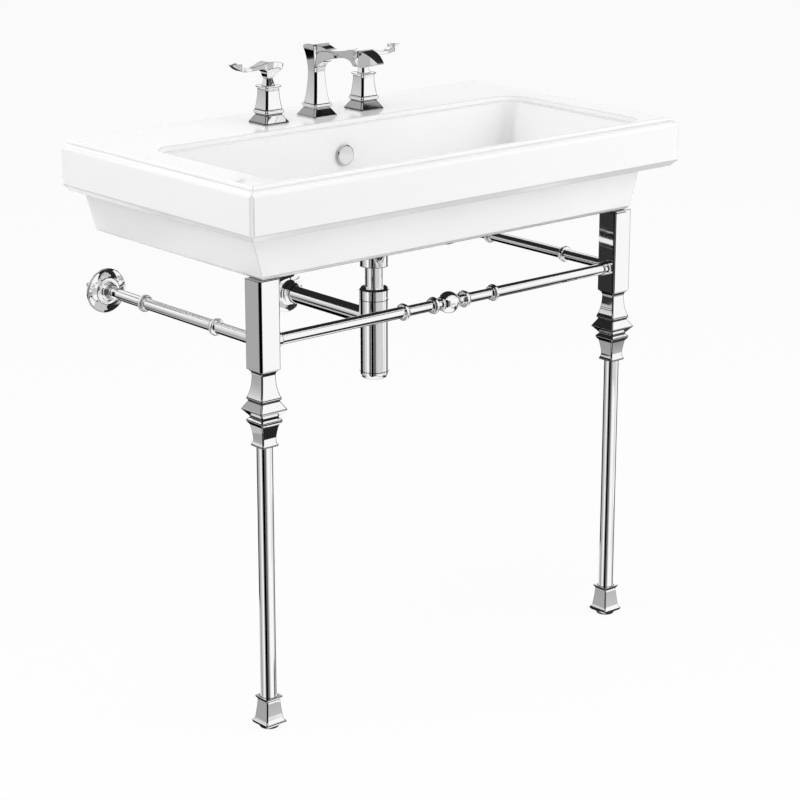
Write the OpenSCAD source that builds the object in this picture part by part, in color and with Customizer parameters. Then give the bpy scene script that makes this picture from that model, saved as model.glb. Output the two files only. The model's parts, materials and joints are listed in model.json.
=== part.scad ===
// Console basin: a rectangular china basin fixed to the wall and carried in front by two
// metal legs, with rails, a three-piece tap, a waste and a bottle trap.
// Millimetres. The origin is midway between the two wall studs, on the wall plane.
// +Z is up, +Y points into the wall and -Y out of it, and +X is right for someone facing the wall.

/* [Overall] */
// Width of the basin
basin_w = 900; // [860:5:1000]
// Depth of the basin, from the wall to its front face
basin_d = 500; // [490:5:560]
// Height of the rim above the floor
rim_h = 890; // [850:5:930]
// Drop from the rim to the two wall studs
fix_drop = 90; // [80:1:100]
// Distance between the two wall studs
stud_spacing = 280; // [260:5:340]

/* [Basin outside] */
// Height of the thick rim band
band_h = 83; // [70:1:95]
// Radius of the rounding at the top of the rim
rim_round = 5; // [3:0.5:7]
// Height of the fine step under that rounding
rim_step = 1.2; // [0.6:0.1:2]
// Width of the rounded shoulder under the step
shoulder_w = 11; // [8:0.5:12]
// Height of the shoulder
shoulder_h = 9; // [6:0.5:12]
// Flat cut on the vertical front corners
corner_cut = 4.2; // [2:0.1:8]
// Chamfer under the band
lip_chamfer = 11; // [5:0.5:11]
// Height from the skirt's bottom to the rim
skirt_h = 158; // [154:1:170]
// Setback of the skirt's sides at its top
skirt_side_top = 38; // [30:1:45]
// Setback of the skirt's sides at its bottom
skirt_side_low = 62; // [56:1:64]
// Setback of the skirt's front at its top
skirt_front_top = 53; // [45:1:55]
// Setback of the skirt's front at its bottom
skirt_front_low = 56; // [50:1:60]
// Rounding of the skirt's bottom edges
skirt_round = 8; // [3:0.5:10]

/* [Bowl] */
// Width of the rim at each side of the bowl
side_rim = 63; // [58:1:80]
// Width of the rim in front of the bowl
front_rim = 20; // [16:1:30]
// Depth of the deck behind the bowl
rear_deck = 154; // [150:1:165]
// Depth of the first step inside the rim
step_drop = 9; // [5:0.5:14]
// Width of the ledge at that step
ledge_w = 7; // [4:0.5:12]
// Depth of the bowl at the waste
bowl_depth = 125; // [115:1:128]
// Rounding of the bowl's upright corners
bowl_corner_r = 30; // [20:1:45]
// Rounding where the bowl's walls meet its floor
bowl_floor_r = 34; // [20:1:40]
// Lean of the bowl's side walls
side_lean = 12; // [4:1:20]
// Lean of the bowl's front wall
front_lean = 66; // [62:1:80]
// Rise of the bowl's floor from the waste to its edges
floor_fall = 6; // [3:0.5:10]

/* [China inside] */
// Thickness of the deck
deck_t = 14; // [12:0.5:18]
// Thickness of the bowl's rear wall
bowl_wall = 14; // [12:0.5:16]
// Thickness of the bowl's floor at the waste
floor_t = 14; // [12:0.5:16]
// Thickness of the wall that the studs pass through
back_wall = 20; // [16:0.5:24]
// Half width of the space behind the bowl
service_half = 370; // [340:5:375]
// Half width of the recess under the bowl
recess_half = 340; // [300:5:342]
// Thickness of the skirt's front
skirt_wall = 14; // [12:0.5:20]

/* [Overflow] */
// Drop from the rim to the centre of the overflow
overflow_drop = 57.5; // [52:0.5:64]
// Radius of the overflow hole
overflow_r = 11; // [8:0.5:12]
// Radius of the overflow cover
overflow_cover_r = 17.5; // [15:0.5:20]
// Thickness of the overflow cover
overflow_cover_t = 3.5; // [2.5:0.5:5]
// Gap for water behind the overflow cover
overflow_slot = 2.5; // [2:0.5:4]
// Half width of the overflow passage
duct_half = 14; // [10:0.5:14]
// Depth of the overflow passage
duct_t = 10; // [6:0.5:10]
// Thickness of the china round the overflow passage
duct_wall = 6; // [5:0.5:8]

/* [Waste] */
// Distance of the waste and the trap from the wall
waste_out = 238; // [230:1:250]
// Radius of the waste hole in the china
waste_hole_r = 23; // [22:0.5:26]
// Radius of the waste's threaded tube
waste_tube_r = 20.95; // [20:0.05:21.5]
// Radius of the waste's bore
waste_bore_r = 17.5; // [16:0.5:18.5]
// Radius of the waste's flange
waste_flange_r = 32; // [30:0.5:36]
// Thickness of the waste's flange
waste_flange_t = 4; // [3.5:0.5:6]
// Height of the waste's tube below the bowl
waste_len = 93; // [88:1:96]
// Radius of the plug's cap
plug_r = 29; // [26:0.5:30]
// Thickness of the plug's cap
plug_t = 5.5; // [4:0.5:8]
// Radius of the plug's stem
plug_stem_r = 4; // [3:0.5:4.5]

/* [Tap] */
// Distance of the tap's holes from the wall
tap_out = 90; // [84:1:95]
// Distance from the spout to each valve
valve_spacing = 102; // [96:0.5:115]
// Radius of the tap holes in the deck
tap_hole_r = 17; // [15:0.5:18]
// Radius of the threaded shanks
shank_r = 14; // [13:0.5:14]
// Half width of the square bases where they stand on the deck
base_half = 25; // [24:0.5:27]
// Half width of the bases at their top
base_top_half = 18; // [17:0.5:20]
// Height of the bases
base_h = 12.5; // [11:0.5:14]
// Height of the upright edge at the bases' foot
base_edge_h = 1.8; // [1:0.1:2.5]
// Flat cut on the corners of the bases and the valves' columns
tap_corner_cut = 2.6; // [1.5:0.1:3.5]
// Half width of the square ring over each base
ring_half = 19.5; // [18.5:0.5:22]
// Height of the groove between the base and the ring
groove_h = 3.5; // [2:0.5:5]
// Thickness of the ring
ring_t = 5; // [3:0.5:7]
// Height of a valve's column above its ring
valve_column_h = 35; // [30:1:42]
// Half width of a valve's column at its bottom
valve_column_low = 17.3; // [16.5:0.1:18]
// Half width of a valve's column at its top
valve_column_top = 14; // [13.5:0.1:15]
// Half width of the flange on a valve's column
valve_flange_half = 16.4; // [15:0.1:18]
// Thickness of that flange
valve_flange_t = 3.5; // [2.5:0.5:5]
// Thickness of the flange's upright edge
valve_flange_edge = 1.4; // [1:0.1:2]
// Height of the tapered neck under a lever
neck_h = 12; // [10:0.5:15]
// Half width of the neck at its bottom
neck_low = 9.4; // [8.5:0.1:10]
// Half width of the neck at its top
neck_top = 6.4; // [6:0.1:7]
// Flat cut on the neck's corners
neck_corner_cut = 2.4; // [1:0.1:3]
// Radius of a valve's stem
stem_r = 4; // [3.5:0.1:4.3]
// Depth of a valve below the deck's surface
valve_drop = 62; // [56:1:70]
// Radius of the threaded inlet under a valve
inlet_r = 10.4; // [8:0.1:11]
// Length of that inlet
inlet_len = 18; // [14:1:22]
// Radius of the tubes that feed the spout
feed_r = 5; // [4:0.5:6]
// Drop from the deck's surface to those tubes
feed_drop = 46; // [44:1:48]

/* [Lever] */
// Reach of the lever's tip from its stem
lever_reach = 79; // [70:1:90]
// Reach of the lever's short end
lever_tail = 29; // [25:1:32]
// Height of the lever's hub, from its bottom to its top
lever_hub_h = 28; // [26:0.5:31]
// Half width of the lever over its hub
lever_hub_half = 12.5; // [11:0.5:14]
// Half width of the lever at its waist
lever_waist_half = 5; // [4:0.5:7]
// Half width of the spoon at the lever's tip
lever_tip_half = 9; // [7:0.5:11]
// Length of that spoon
lever_spoon_len = 19; // [15:0.5:22]
// Height of the spoon's rim above the hub's bottom
lever_rim_h = 29.5; // [27:0.5:32]
// Lowest height of the blade above the hub's bottom
lever_low_h = 15; // [13:0.5:17]
// Thickness of the blade at its waist
lever_blade_t = 5; // [4:0.5:7]

/* [Spout] */
// Height of the spout's crest above the deck
spout_h = 122; // [118:1:126]
// Reach of the spout's nose from its column
spout_reach = 167; // [160:1:172]
// Reach of the spout's outlet
outlet_reach = 122; // [118:1:125]
// Height of the outlet's rim above the deck
outlet_h = 97; // [94:0.5:99]
// Half width of the spout's column at its bottom
spout_low_half = 16.9; // [16:0.1:18]
// Half width of the spout's column at its waist
spout_waist_half = 11.6; // [11:0.1:13]
// Height of that waist above the deck
spout_waist_h = 74; // [70:1:80]
// Half width of the spout's head
spout_head_half = 17; // [16:0.1:19]
// Flat cut on the corners of the spout's column
spout_corner_cut = 3.2; // [2:0.1:4]
// Height of the nose's tip above the deck
nose_h = 107; // [104:0.5:110]
// Height of the arch under the arm above the deck
arch_h = 106.5; // [104:0.5:107]
// Reach of the arch's highest point
arch_reach = 80; // [74:1:84]
// Half width of the web under the arm at the column
web_half = 11; // [9:0.5:12]
// Half width of the web at its thin end
web_end_half = 6.5; // [5:0.5:7]
// Half width of the arm at its narrowest
arm_half = 8.5; // [7:0.5:10]
// Half width of the arm at its outlet
outlet_half = 13; // [12:0.5:15]
// Radius of the aerator
aerator_r = 9.9; // [8.5:0.1:10.5]

/* [Legs] */
// Distance of the leg axes from the basin's sides
leg_inset_x = 74; // [72:0.5:80]
// Distance of the leg axes from the basin's front
leg_inset_y = 75; // [70:0.5:82]
// Half width of the square posts
post_half = 20; // [19:0.5:22]
// Bevel on the posts' upright edges
post_bevel = 3; // [1:0.5:4]
// Length of the posts
post_len = 142; // [135:1:150]
// Wall of the posts
post_wall = 3; // [2:0.5:4]
// Height of the flared piece under a post
vase_h = 49; // [44:1:56]
// Half width of its neck
vase_neck = 13.7; // [13:0.1:15]
// Flat cut on the corners of the vase, collar, cup and foot
leg_corner_cut = 1.4; // [0.5:0.1:2.5]
// Half width of its rim
vase_rim = 20; // [19:0.5:22]
// Height of the wide collar under it
collar_h = 28; // [26:1:32]
// Half width of the collar
collar_half = 26; // [24:0.5:29]
// Height of the cup that holds the leg's tube
cup_h = 46; // [42:1:52]
// Half width of the cup's upper rim
cup_rim = 20.6; // [19:0.1:22]
// Half width of the cup at its narrowest
cup_waist = 13.3; // [12.8:0.1:15]
// Half width of the cup's lower rim
cup_foot = 16; // [15:0.5:18]
// Radius of the leg's tube
leg_r = 13.75; // [13:0.05:15]
// Wall of the leg's tube
leg_wall = 1.5; // [1:0.1:2.5]
// Height of the square foot
foot_h = 47; // [42:1:54]
// Half width of the foot's top
foot_top = 16; // [15.5:0.5:18]
// Half width of the foot's waist
foot_waist = 13.4; // [12.5:0.1:15]
// Half width of the foot's base
foot_base = 20.3; // [19:0.1:22]
// Radius of the levelling pad
pad_r = 15.5; // [13:0.5:17]
// Thickness of the levelling pad
pad_t = 5; // [4:0.5:8]
// Radius of the levelling screw
pad_screw_r = 4; // [3:0.5:5]

/* [Rails] */
// Drop from the rim to the rails
rail_drop = 258.5; // [245:0.5:270]
// Radius of the rails
rail_r = 9.5; // [8.5:0.1:10.5]
// Wall of the rails
rail_wall = 1.3; // [1:0.1:2]
// Radius of the short rails beside the ball
short_rail_r = 8.7; // [8:0.1:9.5]
// Distance from the ball's centre to the outer rings
outer_ring_x = 94.6; // [80:0.1:120]
// Distance from the ball's centre to the inner rings
inner_ring_x = 34.6; // [32:0.1:45]
// Radius of the ball
ball_r = 18; // [16:0.5:20]
// Radius of a large ring
large_ring_r = 14.5; // [13:0.5:16]
// Radius of a small ring
small_ring_r = 12.5; // [11.5:0.5:13]
// Width of a large ring
large_ring_t = 6; // [4:0.5:8]
// Width of a small ring
small_ring_t = 4; // [3:0.5:6]
// Distance from the wall to the side rails' outer ring
wall_ring_out = 116; // [90:1:140]
// Distance from the wall to the side rails' middle ring
mid_ring_out = 304; // [260:1:340]
// Radius of the collars at the ends of the front rail
end_collar_r = 11.5; // [11:0.5:14]
// Length of those collars
end_collar_len = 12; // [8:1:16]
// Radius of the side rails' wall plates
plate_r = 37; // [34:0.5:42]
// Length of a wall plate's hub
plate_hub = 21; // [18:0.5:28]

/* [Trap] */
// Drop from the rim to the trap's outlet
outlet_drop = 323; // [318:1:326]
// Radius of the trap's tube from the waste
dip_r = 15.8; // [15:0.1:16]
// Wall of the trap's tubes
trap_wall = 1.5; // [1:0.1:2]
// Radius of the slip nut and of the trap's cap
trap_nut_r = 25.4; // [25:0.1:28]
// Height of the slip nut
trap_nut_h = 28; // [26:1:32]
// Drop from the rim to the top of the trap's cap
trap_top_drop = 269; // [266:1:272]
// Height of the trap's cap
trap_cap_h = 20; // [18:0.5:24]
// Radius of the trap's body
trap_r = 25.2; // [24.8:0.1:27]
// Drop from the rim to the seam of the bottom cup
trap_seam_drop = 412; // [400:1:425]
// Height of the bottom cup below its seam
trap_cup_h = 13; // [12:0.5:18]
// Radius of the outlet tube
outlet_r = 15; // [14:0.1:15.5]
// Length of the outlet tube behind the wall plane
outlet_tail = 40; // [30:1:60]
// Width of the groove that marks how far the outlet tube goes into the wall
outlet_mark_w = 2; // [1:0.5:3]
// Depth of that groove
outlet_mark_d = 0.5; // [0.3:0.1:0.7]
// Radius of the wall plate round the outlet tube
outlet_plate_r = 36; // [33:0.5:40]
// Radius of the collar on that plate
outlet_collar_r = 19; // [18:0.5:22]

/* [Wall fixing] */
// Radius of the wall studs
stud_r = 5; // [4:0.5:6]
// Radius of the studs' front thread, in the china
stud_front_r = 4.8; // [3.8:0.1:5.8]
// Length of the studs behind the wall plane
stud_tail = 60; // [50:1:80]
// Length of a stud in front of the china's back wall
stud_front_len = 20; // [16:1:28]
// Radius of the washers on the studs
wall_washer_r = 16; // [14:0.5:18]
// Thickness of those washers
wall_washer_t = 3; // [1.5:0.5:4]
// Width across the flats of the nuts on the studs
wall_nut_across = 17; // [16:0.5:19]
// Height of those nuts
wall_nut_h = 8; // [6:0.5:10]
// Length of the rail anchors in the wall
anchor_tail = 50; // [40:1:70]
// Length of the rail anchors in front of the wall
anchor_front_len = 24; // [18:1:30]
// Distance from the wall to the ends of the side rails' tubes
rail_seat = 6; // [4:0.5:8]
// Radius of the stud holes in the china
stud_hole_r = 7; // [6.5:0.5:8]
// Radius of the rail anchors
anchor_r = 4; // [3:0.5:5]
// Radius of the anchors' front thread, in the wall plates
anchor_front_r = 3.8; // [2.8:0.1:4.8]
// Radius of the dowels between the posts and the china
dowel_r = 5; // [4:0.5:6]

/* [Hidden] */

// Clearance of a screwed or pushed fit
fit_gap = 0.1;
// Radial clearance of a stem that turns or slides in its bore
running_gap = 0.05;
// Gap between faces that move past each other
face_gap = 0.5;
// Overlap that makes a cut run clear through a face
cut = 1;
$fn = 48;

chrome_colour = [0.78, 0.80, 0.82];
brass_colour = [0.76, 0.62, 0.30];
china_colour = [0.96, 0.96, 0.95];
rubber_colour = [0.10, 0.10, 0.10];
steel_colour = [0.60, 0.61, 0.62];

rim_z = fix_drop;
floor_z = rim_z - rim_h;
lip_z = rim_z - band_h;
skirt_z = rim_z - skirt_h;
bowl_z = rim_z - bowl_depth;
underside_z = bowl_z - floor_t;
band_half = basin_w / 2;
skirt_top_half = band_half - skirt_side_top;
skirt_low_half = band_half - skirt_side_low;
skirt_front = basin_d - skirt_front_low;
bowl_half = band_half - side_rim - ledge_w;
bowl_rear = rear_deck + ledge_w;
bowl_front = basin_d - front_rim - ledge_w;
service_front = bowl_rear - bowl_wall;
recess_front = skirt_front - skirt_wall;

// Overflow passage, from the hole down behind the bowl and forward to the waste
overflow_z = rim_z - overflow_drop;
duct_rear = service_front - duct_t;
duct_top_z = overflow_z + overflow_r;
duct_ceiling_z = underside_z + 2;
duct_floor_z = duct_ceiling_z - duct_t;
boss_z = duct_floor_z - 4;
boss_half = duct_half + duct_wall + 2;
boss_r = waste_flange_r + 10;

// Waste
flange_recess = 3;
flange_recess_z = bowl_z - flange_recess;
flange_top_z = flange_recess_z + waste_flange_t;
waste_end_z = bowl_z - waste_len;
gasket_t = 4;
waste_nut_t = 10;
waste_nut_across = 52;
hub_top_z = bowl_z - 28;
hub_t = 12;
guide_r = 7;
plug_low_z = flange_top_z + 0.3;

// Tap heights
deck_low_z = rim_z - deck_t;
base_top_z = rim_z + base_h;
ring_z = base_top_z + groove_h;
ring_top_z = ring_z + ring_t;
column_z = ring_top_z + 1.5;
column_top_z = column_z + valve_column_h;
valve_flange_z = column_top_z;
valve_top_z = valve_flange_z + valve_flange_t;
neck_top_z = valve_top_z + neck_h;
lever_z = neck_top_z + face_gap;
feed_z = rim_z - feed_drop;
socket_z = rim_z + 15;
cartridge_r = valve_column_top - 3;
cartridge_top_z = column_top_z - 2;
deck_washer_t = 3;
deck_nut_t = 8;
deck_nut_across = 38;
tee_r = 13;
tee_stub = 20;
valve_stub = 6;

// Legs, from the skirt down to the floor
leg_x = band_half - leg_inset_x;
leg_y = leg_inset_y - basin_d;
post_z = skirt_z - post_len;
vase_z = post_z - vase_h;
collar_z = vase_z - collar_h;
cup_z = collar_z - cup_h;
foot_z = floor_z + pad_t + 0.3;
foot_top_z = foot_z + foot_h;
leg_bore_r = leg_r - leg_wall;
spigot_len = 20;
spigot_gap = 0.15;
tube_seat = 2;
joint_r = 8;
joint_len = 14;
plug_plate_t = 14;
leveller_len = 28;
dowel_depth = 25;
dowel_flange_t = 8;
dowel_flange_w = 5;

// Rails
rail_z = rim_z - rail_drop;
rail_bore_r = rail_r - rail_wall;
short_bore_r = short_rail_r - rail_wall;
ring_pair_half = (large_ring_t + small_ring_t) / 2;
post_face_x = leg_x - post_half;
post_face_y = leg_y + post_half;
end_collar_x = post_face_x - end_collar_len;
rail_peg_len = 14;
post_peg_len = 11;
hub_r = rail_r + 2.5;

// Trap, measured down from the rim
trap_y = -waste_out;
trap_nut_top_z = waste_end_z + 14;
trap_nut_z = trap_nut_top_z - trap_nut_h;
dip_flange_z = trap_nut_z + 6;
dip_flange_t = 3;
trap_top_z = rim_z - trap_top_drop;
trap_body_top_z = trap_top_z - trap_cap_h;
trap_seam_z = rim_z - trap_seam_drop;
trap_bore_r = trap_r - 2;
trap_thread_r = trap_r - 3.4;
outlet_z = rim_z - outlet_drop;
dip_end_z = outlet_z - outlet_r - 42;
outlet_plate_t = 14;
outlet_collar_t = 12;
trap_cup_lip = 14;

function unit(v) = v / norm(v);

// Arc of a circle as a list of points
function arc(centre, r, from, to, steps = 8) =
    [for (i = [0:steps]) let (turn = from + (to - from) * i / steps) centre + r * [cos(turn), sin(turn)]];

// Curve from a to c that leaves and arrives along the lines to b
function curve(a, b, c, steps = 8) =
    [for (i = [0:steps]) let (t = i / steps) (1 - t) * (1 - t) * a + 2 * t * (1 - t) * b + t * t * c];

// Arc that rounds the corner b between a and c
function rounded(a, b, c, r, steps = 7) =
    let (u = unit(a - b), v = unit(c - b), half = acos(u * v) / 2,
        centre = b + unit(u + v) * r / sin(half),
        start = b + u * r / tan(half) - centre, end = b + v * r / tan(half) - centre,
        from = atan2(start[1], start[0]), turn = atan2(end[1], end[0]) - from,
        sweep = turn > 180 ? turn - 360 : (turn < -180 ? turn + 360 : turn))
    arc(centre, r, from, from + sweep, steps);

// Outline from points [x, y, radius of the corner]
function soft(points) =
    [for (i = [0:len(points) - 1])
        let (count = len(points), b = points[i],
            a = points[(i + count - 1) % count], c = points[(i + 1) % count])
        each (b[2] == 0 ? [[b[0], b[1]]] : rounded([a[0], a[1]], [b[0], b[1]], [c[0], c[1]], b[2]))];

function mirrored(points) =
    concat(points, [for (i = [len(points) - 1:-1:0]) [-points[i][0], points[i][1]]]);

function doubled(points) =
    concat(points, [for (i = [len(points) - 1:-1:0]) [points[i][0], -points[i][1]]]);

// Prism along X from an outline of [distance out of the wall, height]
module side_prism(width) {
    rotate([90, 0, -90]) linear_extrude(width, center = true) children();
}

// Prism out of the wall from an outline of [x, height]
module front_prism(from, to) {
    translate([0, -from, 0]) rotate([90, 0, 0]) linear_extrude(to - from) children();
}

module rod(r, low, high) {
    translate([0, 0, low]) cylinder(r = r, h = high - low);
}

module pipe(r, bore, low, high) {
    difference() {
        rod(r, low, high);
        rod(bore, low - cut, high + cut);
    }
}

module hex_nut(across, bore, low, high) {
    difference() {
        translate([0, 0, low]) cylinder(r = across / sqrt(3), h = high - low, $fn = 6);
        rod(bore, low - cut, high + cut);
    }
}

module along_x() {
    rotate([0, 90, 0]) children();
}

// Turns +Z to -Y, out of the wall
module out_of_wall() {
    rotate([90, 0, 0]) children();
}

// Square bar whose half width follows points of [half width, height]
module square_bar(points) {
    reach = 2 * max([for (p = points) p[0]]) + cut;
    intersection() {
        rotate([90, 0, 0]) linear_extrude(reach, center = true) polygon(mirrored(points));
        rotate([90, 0, 90]) linear_extrude(reach, center = true) polygon(mirrored(points));
    }
}

// The same bar with a flat cut on its four corners
module square_turned(points, corner_cut) {
    intersection() {
        square_bar(points);
        rotate([0, 0, 45]) square_bar([for (p = points) [p[0] * sqrt(2) - corner_cut / sqrt(2), p[1]]]);
    }
}

// Round piece with a bore, whose outer side follows points of [radius, height]
module bored_turned(points, bore) {
    last = len(points) - 1;
    rotate_extrude() polygon(concat([[bore, points[0][1]]], points, [[bore, points[last][1]]]));
}

module block(low, high) {
    translate(low) cube(high - low);
}

module on_side(side) {
    if (side > 0) children();
    else mirror([1, 0, 0]) children();
}

module at_each(xs) {
    for (x = xs) translate([x, 0, 0]) children();
}

module at_waste() {
    translate([0, trap_y, 0]) children();
}

module at_leg() {
    translate([leg_x, leg_y, 0]) children();
}

module at_valve() {
    translate([valve_spacing, -tap_out, 0]) children();
}

module rounded_rect(x0, y0, x1, y1, r) {
    union() {
        translate([x0 + r, y0]) square([x1 - x0 - 2 * r, y1 - y0]);
        translate([x0, y0 + r]) square([x1 - x0, y1 - y0 - 2 * r]);
        for (x = [x0 + r, x1 - r], y = [y0 + r, y1 - r]) translate([x, y]) circle(r);
    }
}

// Basin: section of the band from the lip's chamfer over the shoulder and the step to the rim
function band_edge(reach) =
    let (shoulder_z = rim_z - rim_round - rim_step - shoulder_h, inner = reach - shoulder_w)
    concat(
        [[reach - lip_chamfer, lip_z], [reach, lip_z + lip_chamfer]],
        [for (turn = [0:12:84]) [inner + shoulder_w * cos(turn), shoulder_z + shoulder_h * sin(turn)]],
        [[inner, shoulder_z + shoulder_h]],
        arc([inner - rim_round, rim_z - rim_round], rim_round, 0, 90, 6));

module band() {
    intersection() {
        side_prism(basin_w) polygon(concat([[0, lip_z]], band_edge(basin_d), [[0, rim_z]]));
        front_prism(0, basin_d) polygon(mirrored(band_edge(band_half)));
        translate([0, 0, lip_z]) linear_extrude(band_h) polygon([
            [-band_half, 0], [-band_half, corner_cut - basin_d], [corner_cut - band_half, -basin_d],
            [band_half - corner_cut, -basin_d], [band_half, corner_cut - basin_d], [band_half, 0]]);
    }
}

module skirt() {
    top = lip_z + 10;
    intersection() {
        front_prism(0, basin_d) polygon(soft([
            [-skirt_top_half, top, 0], [-skirt_top_half, lip_z, 0], [-skirt_low_half, skirt_z, skirt_round],
            [skirt_low_half, skirt_z, skirt_round], [skirt_top_half, lip_z, 0], [skirt_top_half, top, 0]]));
        side_prism(basin_w) polygon(soft([
            [0, top, 0], [0, skirt_z, 0], [skirt_front, skirt_z, skirt_round],
            [basin_d - skirt_front_top, lip_z, 0], [basin_d - skirt_front_top, top, 0]]));
    }
}

module bowl() {
    top = rim_z + cut;
    edge_z = bowl_z + floor_fall;
    translate([0, 0, rim_z - step_drop]) linear_extrude(step_drop + cut)
        rounded_rect(ledge_w * -1 - bowl_half, -bowl_front - ledge_w, bowl_half + ledge_w, -rear_deck,
            bowl_corner_r + ledge_w);
    intersection() {
        front_prism(rear_deck, basin_d) polygon(soft([
            [-bowl_half, top, 0], [side_lean - bowl_half, edge_z, bowl_floor_r], [0, bowl_z, 0],
            [bowl_half - side_lean, edge_z, bowl_floor_r], [bowl_half, top, 0]]));
        side_prism(basin_w) polygon(soft([
            [bowl_rear, top, 0], [bowl_rear, edge_z, bowl_floor_r], [waste_out, bowl_z, 0],
            [bowl_front - front_lean, edge_z, bowl_floor_r], [bowl_front, top, 0]]));
        translate([0, 0, bowl_z]) linear_extrude(bowl_depth + cut)
            rounded_rect(-bowl_half, -bowl_front, bowl_half, -bowl_rear, bowl_corner_r);
    }
}

module service_space() {
    block([-service_half, -service_front, skirt_z - cut], [service_half, -back_wall, deck_low_z]);
    block([-recess_half, -recess_front, skirt_z - cut], [recess_half, -service_front + cut, underside_z]);
}

module overflow_boss() {
    block([-boss_half, -service_front - cut, boss_z],
        [boss_half, duct_wall - duct_rear, duct_top_z + duct_wall]);
    block([-boss_half, -waste_out, boss_z], [boss_half, duct_wall - duct_rear, underside_z + cut]);
    at_waste() rod(boss_r, boss_z, underside_z + cut);
}

module overflow_passage() {
    block([-duct_half, -service_front - cut, duct_floor_z], [duct_half, -duct_rear, duct_top_z]);
    block([-duct_half, -waste_out, duct_floor_z], [duct_half, -duct_rear, duct_ceiling_z]);
    translate([0, -service_front, overflow_z]) out_of_wall() rod(overflow_r, -cut, bowl_wall + cut);
}

module basin() {
    color(china_colour) difference() {
        union() {
            difference() {
                union() {
                    band();
                    skirt();
                }
                service_space();
            }
            overflow_boss();
        }
        bowl();
        overflow_passage();
        at_waste() rod(waste_hole_r, boss_z - cut, bowl_z + cut);
        at_waste() rod(waste_flange_r + face_gap, flange_recess_z, bowl_z + floor_fall);
        at_each([-valve_spacing, 0, valve_spacing]) translate([0, -tap_out, 0])
            rod(tap_hole_r, deck_low_z - cut, rim_z + cut);
        at_each([-stud_spacing / 2, stud_spacing / 2]) out_of_wall() rod(stud_hole_r, -cut, back_wall + cut);
        at_each([-leg_x, leg_x]) translate([0, leg_y, 0])
            rod(dowel_r + fit_gap, skirt_z - cut, skirt_z + dowel_depth + cut);
    }
}

// Overflow cover: a disc on a short neck, with gaps for the water behind the disc
module overflow_cover() {
    neck_r = overflow_r - fit_gap;
    disc_start = overflow_slot;
    color(chrome_colour) translate([0, -bowl_rear, overflow_z]) out_of_wall() difference() {
        union() {
            rod(neck_r, 4 - bowl_wall, disc_start + cut);
            rotate_extrude() polygon([[0, disc_start], [overflow_cover_r, disc_start],
                [overflow_cover_r, disc_start + overflow_cover_t * 0.6],
                [overflow_cover_r - 1.5, disc_start + overflow_cover_t],
                [0, disc_start + overflow_cover_t]]);
        }
        rod(neck_r - 2, -bowl_wall, disc_start + 0.5);
        for (turn = [0:60:300]) rotate([0, 0, turn])
            block([neck_r - 3, -3, 0.3], [neck_r + cut, 3, disc_start - 0.4]);
    }
}

// Waste: flanged tube with a threaded outside, windows for the overflow and a hub for the plug
module waste_body() {
    color(chrome_colour) at_waste() union() {
        difference() {
            union() {
                rod(waste_flange_r, flange_recess_z, flange_top_z);
                rod(waste_tube_r, waste_end_z, flange_recess_z + cut);
            }
            rod(waste_bore_r, waste_end_z - cut, flange_top_z + cut);
            for (turn = [0, 90]) rotate([0, 0, turn])
                block([-7, -waste_hole_r, duct_floor_z + 1], [7, waste_hole_r, duct_ceiling_z - 1]);
        }
        difference() {
            union() {
                rod(guide_r + 3, hub_top_z - hub_t, hub_top_z);
                intersection() {
                    for (turn = [45, 135]) rotate([0, 0, turn])
                        block([-waste_tube_r, -2, hub_top_z - hub_t + 2], [waste_tube_r, 2, hub_top_z - 2]);
                    rod(waste_bore_r + 1, waste_end_z, hub_top_z);
                }
            }
            rod(guide_r + fit_gap, waste_end_z, hub_top_z + cut);
        }
    }
}

module waste_gasket() {
    color(rubber_colour) at_waste()
        pipe(waste_flange_r + 1, waste_tube_r + fit_gap, boss_z - gasket_t, boss_z);
}

module waste_nut() {
    top = boss_z - gasket_t;
    color(brass_colour) at_waste() hex_nut(waste_nut_across, waste_tube_r + fit_gap, top - waste_nut_t, top);
}

// Plug: a cap on a stem that slides in the guide
module plug_guide() {
    bore = plug_stem_r + running_gap;
    color(brass_colour) at_waste() union() {
        pipe(guide_r, bore, hub_top_z - hub_t - 4, hub_top_z + 1);
        pipe(guide_r + 1.6, bore, hub_top_z, hub_top_z + 6);
    }
}

module plug() {
    top = plug_low_z + plug_t;
    color(chrome_colour) at_waste() rotate_extrude() polygon(concat(
        [[0, hub_top_z - hub_t - 2], [plug_stem_r, hub_top_z - hub_t - 2], [plug_stem_r, plug_low_z],
            [plug_r, plug_low_z], [plug_r, top - 3]],
        curve([plug_r - 1, top - 1.5], [plug_r * 0.6, top], [0, top], 6)));
}

// Tap: square base, groove and ring that the spout and both valve columns share
function base_points() = concat(
    [[base_half, rim_z], [base_half, rim_z + base_edge_h], [base_top_half, base_top_z]],
    [[base_top_half - 1, base_top_z + 1], [base_top_half - 1, ring_z - 0.5]],
    curve([ring_half - 0.7, ring_z], [ring_half + 0.6, (ring_z + ring_top_z) / 2],
        [ring_half - 0.7, ring_top_z], 4));

module square_base() {
    square_turned(base_points(), tap_corner_cut);
}

function column_points() = concat(
    [[valve_column_low, column_z]],
    curve([valve_column_low, column_z + 1], [valve_column_top + 0.4, column_z + valve_column_h * 0.5],
        [valve_column_top, column_top_z - 3], 8),
    curve([valve_column_top, column_top_z - 1.5], [valve_column_top + 0.4, valve_flange_z + 0.8],
        [valve_flange_half - 0.3, valve_top_z - valve_flange_edge - 0.2], 4),
    [[valve_flange_half, valve_top_z - valve_flange_edge], [valve_flange_half, valve_top_z - 0.3],
        [valve_flange_half - 0.3, valve_top_z]]);

module valve_column() {
    color(chrome_colour) at_valve() difference() {
        square_turned(concat(base_points(), column_points()), tap_corner_cut);
        rod(shank_r + fit_gap, rim_z - cut, socket_z);
        rod(cartridge_r + fit_gap, rim_z, cartridge_top_z + fit_gap);
        rod(neck_low - 1, rim_z, valve_top_z + cut);
    }
}

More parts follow.
